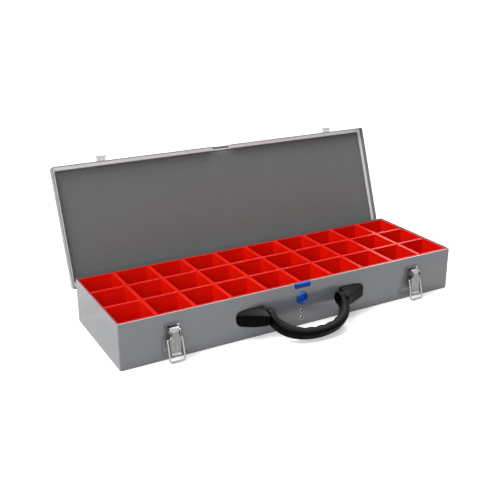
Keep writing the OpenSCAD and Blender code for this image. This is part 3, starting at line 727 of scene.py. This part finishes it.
def rowAt(x):
    rows = capValues["rows"]
    for a, b in zip(rows, rows[1:]):
        if x <= b[0]:
            t = (x - a[0]) / (b[0] - a[0])
            return [p + (q - p) * t for p, q in zip(a, b)]
    return list(rows[-1])


def filleted(corners):
    # corners of (x, y, radius), each rounded over no more than a share of its two sides
    steps, longest = capValues["arc"], capValues["longest"]
    points = []
    for i, (x, y, radius) in enumerate(corners):
        here = Vector((x, y))
        before = Vector(corners[i - 1][:2]) - here
        after = Vector(corners[(i + 1) % len(corners)][:2]) - here
        half = before.angle(after) / 2
        reach = min(radius / math.tan(half), before.length * longest, after.length * longest)
        a, b = here + before.normalized() * reach, here + after.normalized() * reach
        for k in range(steps + 1):
            t = k / steps
            points.append(a * (1 - t) ** 2 + here * 2 * t * (1 - t) + b * t ** 2)
    return points


def capSection(x):
    v = capValues
    r = v["radii"]
    _, top, low, ridge, ridgeZ, foot = rowAt(x)
    crown = (ridge / 2, (top + ridgeZ) / 2 + v["crown"], r["crown"])
    points = filleted([(0, low, r["wallLow"]), (foot, low, r["foot"]), (ridge, ridgeZ, r["ridge"]), crown,
                       (0, top, r["wallTop"])])
    inner = max(0.0, 1 - (x - v["rows"][0][0]) / v["inner"]) ** 2 * v["innerShrink"]
    end = max(0.0, 1 - (v["rows"][-1][0] - x) / v["outer"])
    shrink = max(inner, 1 - math.sqrt(max(0.0, 1 - end ** 2 * v["outerShrink"])))
    middle = Vector((0, (top + low) / 2))
    return [middle + (p - middle) * (1 - shrink) for p in points]


def makeCaps():
    v = capValues
    first, last = v["rows"][0][0], v["rows"][-1][0]
    stops = [first + (last - first) * (1 - math.cos(math.pi * k / v["stations"])) / 2
             for k in range(v["stations"] + 1)]
    for side, word in ((-1, "Left"), (1, "Right")):
        loops = [[(side * x, frontWall - p.x, p.y) for p in capSection(x)] for x in stops]
        placePiece("endBlock" + word, lofted(loops), "case_body", ["handle_cap_" + word.lower()],
                   smooth=50, look="black")


makeCaps()
print("stage: end blocks")

# Release button: a turned form with a rolled rim and a dished face with a raised middle
buttonValues = {
    "z": 41.3, "steps": 64,
    "profile": [
        (0.0, 1.9), (3.0, 1.75), (4.6, 1.3), (5.4, 0.9), (5.7, 0.95), (5.9, 2.1), (6.15, 2.8),
        (6.5, 3.0), (6.85, 2.9), (7.4, 2.45), (8.0, 1.8), (8.5, 1.1), (8.85, 0.4), (9.0, -0.2),
        (9.0, -1.3), (0.0, -1.3),
    ],
}


def makeButton():
    v = buttonValues
    mesh = turned(v["profile"], "button", v["steps"], [v["z"]])
    placePiece("blueButton", mesh, "clip", ["release_button"], smooth=35)


makeButton()
print("stage: button")

# Blind rivets under the button: a domed head with a hole, whose faces are painted near black as shade
rivetValues = {
    "heights": (21.8, 10.9), "hole": 1.62, "head": 2.6, "steps": 32,
    "profile": [
        (0.0, -1.8), (1.5, -1.8), (1.56, 0.1), (1.66, 0.45), (1.85, 0.66), (2.15, 0.6), (2.5, 0.3),
        (2.6, 0.0), (1.7, 0.0), (1.7, -1.9), (0.0, -1.9),
    ],
}


def makeRivets():
    v = rivetValues
    low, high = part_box("catch_rivets")
    scale = (high[0] - low[0]) / 2 / mm / v["head"]
    mesh = turned(v["profile"], "bright", v["steps"], v["heights"], scale)
    rivets = placePiece("blindRivets", mesh, "case_body", ["catch_rivets"], smooth=35)

    def inHole(face):
        reach = min(math.hypot(face.center.x, face.center.z - height * mm) for height in v["heights"])
        return reach < v["hole"] * scale * mm

    # painted shade: the faces inside the hole take a near black steel
    secondLook(rivets, "holeShade", inHole)


makeRivets()
print("stage: rivets")

# Latch levers: a bent channel along a path, with a sloping roof, a neck, shoulders and a rolled lip.
# Each station is (out from the wall, height, half width, depth of the cheeks, radius of the bend)
leverValues = {
    "x": 193.5, "sheet": 1.0, "arc": 5, "leastBend": 0.05, "discSteps": 36,
    "bevel": 0.15, "bevelAngle": 50,
    "stations": [
        (4.9, 46.25, 6.6, 1.05, 0.5), (5.7, 46.3, 6.6, 1.05, 0.5), (6.4, 46.0, 6.6, 1.1, 0.6),
        (9.0, 43.5, 6.3, 1.1, 0.7), (9.8, 42.5, 5.7, 1.1, 0.7), (10.15, 41.4, 5.0, 1.1, 0.7),
        (10.2, 40.3, 4.8, 1.1, 0.7), (10.2, 35.6, 4.8, 1.1, 0.7), (10.2, 35.0, 5.2, 1.2, 0.8),
        (10.2, 33.3, 8.2, 2.6, 1.6), (10.2, 32.6, 8.5, 3.0, 2.0), (10.2, 27.0, 8.3, 3.0, 2.0),
        (10.2, 19.5, 7.6, 3.0, 2.0), (10.2, 17.4, 7.4, 2.6, 1.8), (10.2, 16.6, 7.0, 1.2, 0.9),
        (10.35, 14.6, 6.7, 1.05, 0.6), (10.8, 13.0, 6.6, 1.05, 0.6), (11.6, 11.7, 6.6, 1.05, 0.6),
        (12.8, 10.9, 6.5, 1.05, 0.6), (14.2, 10.7, 6.3, 1.05, 0.6),
    ],
    # the cheeks about the lever's pin, and the bosses about the ends of the wire loop
    "cheek": {"pin": (7.6, 41.0), "r": 4.0, "x": (5.6, 6.6), "out": (6.9, 9.0), "z": (33.3, 42.5)},
    "boss": {"place": (7.2, 30.5), "r": 3.0, "x": (7.4, 8.4)},
    # the upward faces of the roof and the lip carry a painted highlight in paler zinc
    "paintedHighlight": {"roof": 41.3, "lip": 16.5, "slope": 0.3},
}


def channelSection(half, depth, radius):
    # outline of a channel as (across, inward), down its outside and back along its inside
    sheet, steps = leverValues["sheet"], leverValues["arc"]
    outer, inner = [(-half, depth)], [(-half + sheet, depth)]
    innerRadius = max(leverValues["leastBend"], radius - sheet)
    for k in range(steps + 1):
        a = math.radians(180 + 90 * k / steps)
        across, inward = 1 + math.cos(a), 1 + math.sin(a)
        outer.append((-half + radius * across, radius * inward))
        inner.append((-half + sheet + innerRadius * across, sheet + innerRadius * inward))
    outer += [(-x, d) for x, d in reversed(outer)]
    inner += [(-x, d) for x, d in reversed(inner)]
    return outer + [(x, min(max(d, sheet), max(depth, sheet))) for x, d in reversed(inner)]


def flatPlate(outline, x0, x1):
    return lofted([[(x, -out, z) for out, z in outline] for x in (x0, x1)])


def disc(place, radius):
    return [(place[0] + radius * math.cos(a), place[1] + radius * math.sin(a))
            for a in turns(leverValues["discSteps"])]


def leverChannel():
    stations = leverValues["stations"]
    loops = []
    for i, (out, z, half, depth, radius) in enumerate(stations):
        before, after = stations[max(0, i - 1)], stations[min(len(stations) - 1, i + 1)]
        along = Vector((after[0] - before[0], after[1] - before[1])).normalized()
        loops.append([(x, -(out + along.y * d), z - along.x * d)
                      for x, d in channelSection(half, depth, radius)])
    return lofted(loops)


def leverParts():
    cheek, boss = leverValues["cheek"], leverValues["boss"]
    (out0, out1), (low, high) = cheek["out"], cheek["z"]
    parts = [leverChannel()]
    for side in (-1, 1):
        a, b = sorted(side * x for x in cheek["x"])
        parts.append(flatPlate(disc(cheek["pin"], cheek["r"]), a, b))
        parts.append(flatPlate([(out0, low), (out1, low), (out1, high), (out0, high)], a, b))
        a, b = sorted(side * x for x in boss["x"])
        parts.append(flatPlate(disc(boss["place"], boss["r"]), a, b))
    return parts


def makeLevers():
    v = leverValues
    paintedHighlight = v["paintedHighlight"]

    def isHighlit(face):
        z = face.center.z / mm
        return (z > paintedHighlight["roof"] or z < paintedHighlight["lip"]) and face.normal.z > paintedHighlight["slope"]

    parts = leverParts()
    for side, word in ((-1, "left"), (1, "right")):
        mesh = joined(parts, newMesh("lever"))
        mesh.transform(Matrix.Translation((side * v["x"] * mm, frontWall * mm, 0)))
        lever = placePiece("latchLever" + word.capitalize(), mesh, "lever_" + word,
                           ["latch_lever_" + word], smooth=35, look="lever")
        # painted highlight: upward faces of the roof and the lip take the paler zinc
        secondLook(lever, "paintedHighlight", isHighlit)
        bevelled(lever, v["bevel"], v["bevelAngle"])


makeLevers()
print("stage: latch levers")

# Floor, light and sky
stageValues = {
    "floor": {"size": 30.0, "tones": (grey(0.80), grey(0.82)), "mottle": (3.0, 2.0),
              "rough": 0.9, "spec": 0.1},
    "sun": {"toward": (-0.60, 0.0, 0.80), "angle": 28.0, "strength": 2.6},
    "lamps": {
        "key": {"place": (-0.62, -0.92, 0.42), "size": 0.5, "power": 5.5},
        "top": {"place": (0.56, 0.19, 1.30), "size": 0.62, "power": 12.5},
        "rim": {"place": (2.05, 2.3, 1.15), "size": 1.5, "power": 12.0},
    },
    "aim": (0.0, 0.0, 0.05),
    "sky": 0.13, "seenSky": 1.0, "seenFloor": 0.38,
}


def seenRays(t, unseen, seen):
    # one value for the rays of the camera, of reflections and of glass, another for the light that falls
    path = t.add("ShaderNodeLightPath").outputs
    either = t.math("MAXIMUM", path["Is Camera Ray"], path["Is Glossy Ray"])
    return t.between(t.math("MAXIMUM", either, path["Is Transmission Ray"]), 0, 1, unseen, seen)


def makeFloor():
    v = stageValues["floor"]
    s = v["size"]
    mesh = newMesh("floor")
    mesh.from_pydata([(-s, -s, 0), (s, -s, 0), (s, s, 0), (-s, s, 0)], [], [(0, 1, 2, 3)])
    floor = linked("floor", mesh)
    t = Surface("floorPaint")
    mesh.materials.append(t.finish(
        color=t.mix(t.noise(*v["mottle"]), *v["tones"]), rough=v["rough"], spec=v["spec"],
        glow=white, glowStrength=seenRays(t, 0.0, stageValues["seenFloor"])))
    floor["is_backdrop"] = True


def aimed(name, light, toward):
    lamp = linked(name, light)
    lamp.rotation_euler = Vector(toward).to_track_quat("-Z", "Y").to_euler()
    return lamp


def makeLights():
    v = stageValues
    sun = bpy.data.lights.new("sun", "SUN")
    sun.angle = math.radians(v["sun"]["angle"])
    sun.energy = v["sun"]["strength"]
    aimed("sun", sun, -Vector(v["sun"]["toward"]))
    for name, values in v["lamps"].items():
        light = bpy.data.lights.new(name, "AREA")
        light.shape = "DISK"
        light.size = values["size"]
        light.energy = values["power"]
        aimed(name, light, Vector(v["aim"]) - Vector(values["place"])).location = values["place"]


def makeSky():
    world = bpy.data.worlds.new("sky")
    world.use_nodes = True
    t = Tree(world.node_tree)
    background = t.nodes["Background"].inputs
    t.connect(white, background["Color"])
    t.connect(seenRays(t, stageValues["sky"], stageValues["seenSky"]), background["Strength"])
    bpy.context.scene.world = world
    bpy.context.scene.view_settings.view_transform = "Standard"


makeFloor()
makeLights()
makeSky()
print("stage: floor and light")

for bounds in (cadBox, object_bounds()):
    print("box", [[round(float(c), 4) for c in corner] for corner in bounds])
